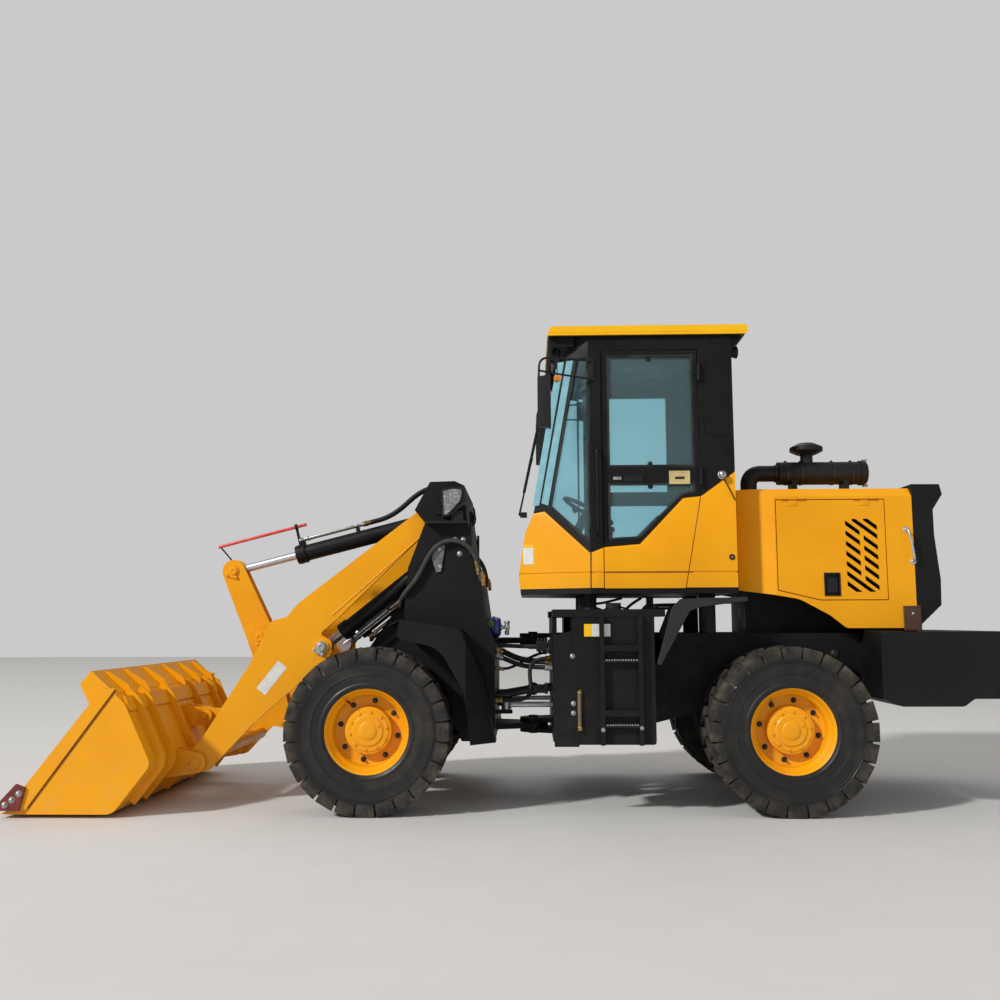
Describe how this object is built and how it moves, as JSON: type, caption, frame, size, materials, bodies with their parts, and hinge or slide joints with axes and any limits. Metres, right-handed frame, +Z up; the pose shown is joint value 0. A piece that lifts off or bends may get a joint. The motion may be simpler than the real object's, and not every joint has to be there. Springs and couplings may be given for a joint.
{
  "type": "wheel loader",
  "caption": "Articulated wheel loader with enclosed cab, bell-crank bucket linkage, lugged tyres and a rear counterweight.",
  "frame": {"origin": "centre of the footprint box on the ground", "axes": "+X towards the counterweight at the rear, so the bucket faces -X; +Y towards the machine's right; +Z up"},
  "size_m": [6.78, 2.174, 3.371],
  "materials": {
    "yellow_paint": "gloss enamel",
    "black_paint": "satin enamel",
    "chrome_rod": "polished",
    "worn_steel": "worn, dark red-brown",
    "tyre_rubber": "matt, dusty tread",
    "mount_rubber": "matt",
    "tinted_glass": "blue-green tint",
    "black_plastic": "moulded",
    "dark_red_steel": "worn primer",
    "red_paint": "satin",
    "lamp_moulding": "moulded",
    "hose_rubber": "matt cover",
    "shaft_steel": "satin enamel",
    "seat_vinyl": "grained vinyl"
  },
  "bodies": {
    "rear_frame": {"rear_frame": "black_paint", "counterweight": "black_paint", "rear_axle": "black_paint", "rear_fenders": "black_paint", "side_tanks": "black_paint", "steps": "black_paint", "powertrain": "black_paint", "cab_floor": "black_paint", "cab_shell": "yellow_paint", "cab_frame": "black_paint", "cab_windows": "tinted_glass", "cab_roof": "yellow_paint", "cab_mounts": "mount_rubber", "seat": "seat_vinyl", "controls": "black_plastic", "mirrors": "black_plastic", "engine_hood": "yellow_paint", "rear_shroud": "black_paint", "air_cleaner": "black_plastic", "lamps": "lamp_moulding", "shaft_rear": "shaft_steel", "gap_hoses": "hose_rubber"},
    "front_frame": {"front_frame": "black_paint", "front_axle": "black_paint", "front_fenders": "black_paint", "headlamps": "black_plastic", "shaft_front": "shaft_steel", "tilt_hoses": "hose_rubber", "lift_hose_left": "hose_rubber", "lift_hose_right": "hose_rubber"},
    "boom": {"boom": "yellow_paint"},
    "bell_crank": {"bell_crank": "yellow_paint"},
    "tilt_link": {"tilt_link": "yellow_paint"},
    "bucket": {"bucket": "yellow_paint", "cutting_edge": "worn_steel", "side_cutters": "dark_red_steel"},
    "tilt_barrel": {"tilt_barrel": "black_paint"},
    "tilt_rod": {"tilt_rod": "chrome_rod", "level_indicator": "red_paint"},
    "cab_door": {"door_panel": "yellow_paint", "door_frame": "black_paint", "door_glass": "tinted_glass"},
    "hood_door_left": {"hood_door_left": "yellow_paint"},
    "hood_door_right": {"hood_door_right": "yellow_paint"},
    "lift_barrel_left": {"lift_barrel_left": "black_paint"},
    "lift_barrel_right": {"lift_barrel_right": "black_paint"},
    "lift_rod_left": {"lift_rod_left": "chrome_rod"},
    "lift_rod_right": {"lift_rod_right": "chrome_rod"},
    "steer_barrel_left": {"steer_barrel_left": "black_paint"},
    "steer_barrel_right": {"steer_barrel_right": "black_paint"},
    "steer_rod_left": {"steer_rod_left": "chrome_rod"},
    "steer_rod_right": {"steer_rod_right": "chrome_rod"},
    "wheel_front_left": {"tyre_front_left": "tyre_rubber", "rim_front_left": "yellow_paint"},
    "wheel_front_right": {"tyre_front_right": "tyre_rubber", "rim_front_right": "yellow_paint"},
    "wheel_rear_left": {"tyre_rear_left": "tyre_rubber", "rim_rear_left": "yellow_paint"},
    "wheel_rear_right": {"tyre_rear_right": "tyre_rubber", "rim_rear_right": "yellow_paint"}
  },
  "joints": [
    {"name": "articulation", "type": "hinge", "parent": "rear_frame", "child": "front_frame", "pos_m": [0.09, 0, 0.8], "axis": [0, 0, 1], "range_deg": [-35, 35], "deforming": ["gap_hoses"]},
    {"name": "boom_lift", "type": "hinge", "parent": "front_frame", "child": "boom", "pos_m": [-0.58, 0, 2.06], "axis": [0, 1, 0], "range_deg": [0, 80]},
    {"name": "bucket_tilt", "type": "hinge", "parent": "boom", "child": "bucket", "pos_m": [-2.28, 0, 0.285], "axis": [0, 1, 0], "range_deg": [-125, 42]},
    {"name": "crank_swing", "type": "hinge", "parent": "boom", "child": "bell_crank", "pos_m": [-1.965, 0, 1.147], "axis": [0, 1, 0], "range_deg": [-11, 32]},
    {"name": "link_swing", "type": "hinge", "parent": "bucket", "child": "tilt_link", "pos_m": [-2.38, 0, 0.565], "axis": [0, 1, 0], "range_deg": [-23, 66]},
    {"name": "tilt_barrel_swing", "type": "hinge", "parent": "front_frame", "child": "tilt_barrel", "pos_m": [-0.58, 0, 2.06], "axis": [0, 1, 0], "range_deg": [0, 81], "deforming": ["tilt_hoses"]},
    {"name": "tilt_rod_slide", "type": "slide", "parent": "tilt_barrel", "child": "tilt_rod", "axis": [-0.9691, 0, -0.2468], "range_m": [-0.296, 0.1]},
    {"name": "lift_barrel_swing_left", "type": "hinge", "parent": "front_frame", "child": "lift_barrel_left", "pos_m": [-0.57, -0.385, 1.757], "axis": [0, 1, 0], "range_deg": [0, 80], "deforming": ["lift_hose_left"]},
    {"name": "lift_rod_slide_left", "type": "slide", "parent": "lift_barrel_left", "child": "lift_rod_left", "axis": [-0.7813, 0, -0.6241], "range_m": [0, 0.395]},
    {"name": "steer_barrel_swing_left", "type": "hinge", "parent": "rear_frame", "child": "steer_barrel_left", "pos_m": [0.74, -0.3, 0.67], "axis": [0, 0, 1], "range_deg": [-8, 8]},
    {"name": "steer_rod_slide_left", "type": "slide", "parent": "steer_barrel_left", "child": "steer_rod_left", "axis": [-0.9989, -0.0473, 0], "range_m": [-0.197, 0.197]},
    {"name": "hood_door_left", "type": "hinge", "parent": "rear_frame", "child": "hood_door_left", "pos_m": [2.18, -0.608, 2.114], "axis": [-1, 0, 0], "range_deg": [0, 80]},
    {"name": "lift_barrel_swing_right", "type": "hinge", "parent": "front_frame", "child": "lift_barrel_right", "pos_m": [-0.57, 0.385, 1.757], "axis": [0, 1, 0], "range_deg": [0, 80], "deforming": ["lift_hose_right"]},
    {"name": "lift_rod_slide_right", "type": "slide", "parent": "lift_barrel_right", "child": "lift_rod_right", "axis": [-0.7813, 0, -0.6241], "range_m": [0, 0.395]},
    {"name": "steer_barrel_swing_right", "type": "hinge", "parent": "rear_frame", "child": "steer_barrel_right", "pos_m": [0.74, 0.3, 0.67], "axis": [0, 0, 1], "range_deg": [-8, 8]},
    {"name": "steer_rod_slide_right", "type": "slide", "parent": "steer_barrel_right", "child": "steer_rod_right", "axis": [-0.9989, 0.0473, 0], "range_m": [-0.197, 0.197]},
    {"name": "hood_door_right", "type": "hinge", "parent": "rear_frame", "child": "hood_door_right", "pos_m": [2.18, 0.608, 2.114], "axis": [1, 0, 0], "range_deg": [0, 80]},
    {"name": "cab_door", "type": "hinge", "parent": "rear_frame", "child": "cab_door", "pos_m": [1.265, -0.738, 2.3], "axis": [0, 0, 1], "range_deg": [0, 95]},
    {"name": "wheel_front_left", "type": "hinge", "parent": "front_frame", "child": "wheel_front_left", "pos_m": [-1.01, -0.81, 0.545], "axis": [0, 1, 0], "continuous": true},
    {"name": "wheel_front_right", "type": "hinge", "parent": "front_frame", "child": "wheel_front_right", "pos_m": [-1.01, 0.81, 0.545], "axis": [0, 1, 0], "continuous": true},
    {"name": "wheel_rear_left", "type": "hinge", "parent": "rear_frame", "child": "wheel_rear_left", "pos_m": [1.775, -0.81, 0.545], "axis": [0, 1, 0], "continuous": true},
    {"name": "wheel_rear_right", "type": "hinge", "parent": "rear_frame", "child": "wheel_rear_right", "pos_m": [1.775, 0.81, 0.545], "axis": [0, 1, 0], "continuous": true}
  ],
  "couplings": [
    {"joint": "crank_swing", "follows": "bucket_tilt", "ratio": -0.25},
    {"joint": "link_swing", "follows": "bucket_tilt", "ratio": -0.526},
    {"joint": "tilt_barrel_swing", "follows": "boom_lift", "ratio": 1},
    {"joint": "tilt_rod_slide", "follows": "bucket_tilt", "m_per_rad": 0.134},
    {"joint": "lift_barrel_swing_left", "follows": "boom_lift", "ratio": 0.989},
    {"joint": "lift_rod_slide_left", "follows": "boom_lift", "m_per_rad": 0.2788},
    {"joint": "steer_barrel_swing_left", "follows": "articulation", "ratio": 0.2274},
    {"joint": "steer_rod_slide_left", "follows": "articulation", "m_per_rad": -0.3209},
    {"joint": "lift_barrel_swing_right", "follows": "boom_lift", "ratio": 0.989},
    {"joint": "lift_rod_slide_right", "follows": "boom_lift", "m_per_rad": 0.2788},
    {"joint": "steer_barrel_swing_right", "follows": "articulation", "ratio": 0.2274},
    {"joint": "steer_rod_slide_right", "follows": "articulation", "m_per_rad": 0.3209}
  ]
}
